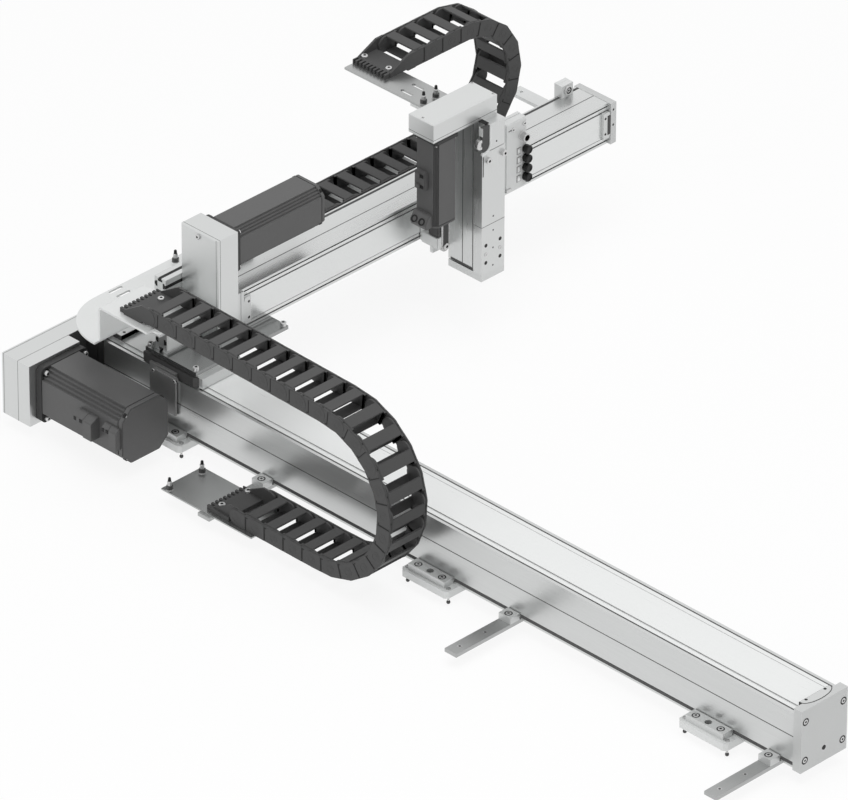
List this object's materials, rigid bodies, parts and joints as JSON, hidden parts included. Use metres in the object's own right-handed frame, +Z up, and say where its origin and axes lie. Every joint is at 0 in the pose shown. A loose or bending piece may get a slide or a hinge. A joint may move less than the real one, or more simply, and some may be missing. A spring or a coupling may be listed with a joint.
{
  "type": "cantilever robot",
  "caption": "Three-axis cantilever robot: belt-kit driven screw axes in X and Y, a small Z slide for tools, and two energy chains on sheet brackets.",
  "frame": {"origin": "centre of the foot bolt pattern under the base axis, on the underside of the foot plates", "axes": "+X along the base axis from its motor end to its far end cap, +Y along the cantilever away from the base, +Z up"},
  "size_m": [1.2615, 0.898, 0.3482],
  "materials": {
    "anodised": "satin anodised",
    "cover": "light anodised",
    "sheet": "light grey sheet",
    "dark_metal": "dark grey cast",
    "motor": "dark grey",
    "steel": "ground",
    "bright_steel": "bright",
    "chain": "dark grey moulded",
    "belt": "matt",
    "port": "light grey moulded"
  },
  "bodies": {
    "base": {"x_profile": "anodised", "x_cover": "cover", "x_strip_clamps": "dark_metal", "x_end_cap": "anodised", "x_drive_head": "dark_metal", "x_guide_rail": "steel", "x_kit_housing": "cover", "x_kit_belt": "belt", "x_motor": "motor", "x_motor_mount": "cover", "foot_plates": "sheet", "profile_clamps": "anodised", "levelling_feet": "bright_steel", "strap_bars": "sheet", "base_screws": "bright_steel", "x_chain_tray": "steel", "x_chain_fixed_end": "chain", "x_chain_lower_run": "chain"},
    "x_screw": {"x_spindle": "steel"},
    "x_motor_shaft": {"x_motor_pulley": "steel"},
    "x_carriage": {"x_slide": "anodised", "x_slide_covers": "dark_metal", "cantilever_plate": "anodised", "switch_lug": "dark_metal", "post_profile": "anodised", "back_profile": "anodised", "x_chain_bracket": "sheet", "x_chain_moving_end": "chain", "x_chain_upper_run": "chain", "y_chain_tray": "sheet", "y_chain_rest": "sheet", "carriage_screws": "bright_steel", "y_profile": "anodised", "y_cover": "cover", "y_strip_clamps": "dark_metal", "y_end_cap": "anodised", "y_drive_head": "dark_metal", "y_guide_rail": "steel", "y_kit_housing": "cover", "y_kit_belt": "belt", "y_motor": "motor", "y_chain_fixed_end": "chain", "y_chain_lower_run": "chain"},
    "x_chain_loop": {"x_chain_bend": "chain"},
    "y_screw": {"y_spindle": "steel"},
    "y_motor_shaft": {"y_motor_pulley": "steel"},
    "y_chain_loop": {"y_chain_bend": "chain"},
    "y_carriage": {"y_slide": "anodised", "z_carrier": "sheet", "y_chain_plate": "sheet", "y_chain_moving_end": "chain", "y_chain_upper_run": "chain", "z_body": "anodised", "z_kit": "cover", "z_motor": "motor", "port_block": "port"},
    "z_screw": {"z_spindle": "steel"},
    "z_slider": {"z_table": "anodised", "z_yoke": "anodised"}
  },
  "joints": [
    {"name": "x_slide", "type": "slide", "parent": "base", "child": "x_carriage", "axis": [1, 0, 0], "range_m": [-0.05, 0.53], "deforming": ["x_chain_upper_run"]},
    {"name": "y_slide", "type": "slide", "parent": "x_carriage", "child": "y_carriage", "axis": [0, 1, 0], "range_m": [-0.25, 0.12], "deforming": ["y_chain_upper_run"]},
    {"name": "z_slide", "type": "slide", "parent": "y_carriage", "child": "z_slider", "axis": [0, 0, -1], "range_m": [0, 0.1]},
    {"name": "x_chain_roll", "type": "slide", "parent": "base", "child": "x_chain_loop", "axis": [1, 0, 0], "range_m": [-0.03, 0.27], "deforming": ["x_chain_lower_run"]},
    {"name": "y_chain_roll", "type": "slide", "parent": "x_carriage", "child": "y_chain_loop", "axis": [0, 1, 0], "range_m": [-0.13, 0.065], "deforming": ["y_chain_lower_run"]},
    {"name": "x_screw_turn", "type": "hinge", "parent": "base", "child": "x_screw", "pos_m": [-0.4, 0, 0.051], "axis": [-1, 0, 0], "range_deg": [-940, 9580]},
    {"name": "x_motor_turn", "type": "hinge", "parent": "base", "child": "x_motor_shaft", "pos_m": [-0.62, -0.107, 0.051], "axis": [-1, 0, 0], "range_deg": [-940, 9580]},
    {"name": "y_screw_turn", "type": "hinge", "parent": "x_carriage", "child": "y_screw", "pos_m": [-0.482, 0.2, 0.143], "axis": [0, -1, 0], "range_deg": [-7540, 3640]},
    {"name": "y_motor_turn", "type": "hinge", "parent": "x_carriage", "child": "y_motor_shaft", "pos_m": [-0.482, 0.05, 0.231], "axis": [0, -1, 0], "range_deg": [-7540, 3640]},
    {"name": "z_screw_turn", "type": "hinge", "parent": "y_carriage", "child": "z_screw", "pos_m": [-0.408, 0.4335, 0.2], "axis": [0, 0, 1], "range_deg": [-40, 3640]}
  ],
  "couplings": [
    {"joint": "x_chain_roll", "follows": "x_slide", "ratio": 0.5},
    {"joint": "y_chain_roll", "follows": "y_slide", "ratio": 0.5},
    {"joint": "x_screw_turn", "follows": "x_slide", "rad_per_m": 314.16},
    {"joint": "x_motor_turn", "follows": "x_slide", "rad_per_m": 314.16},
    {"joint": "y_screw_turn", "follows": "y_slide", "rad_per_m": 523.6},
    {"joint": "y_motor_turn", "follows": "y_slide", "rad_per_m": 523.6},
    {"joint": "z_screw_turn", "follows": "z_slide", "rad_per_m": 628.32}
  ]
}
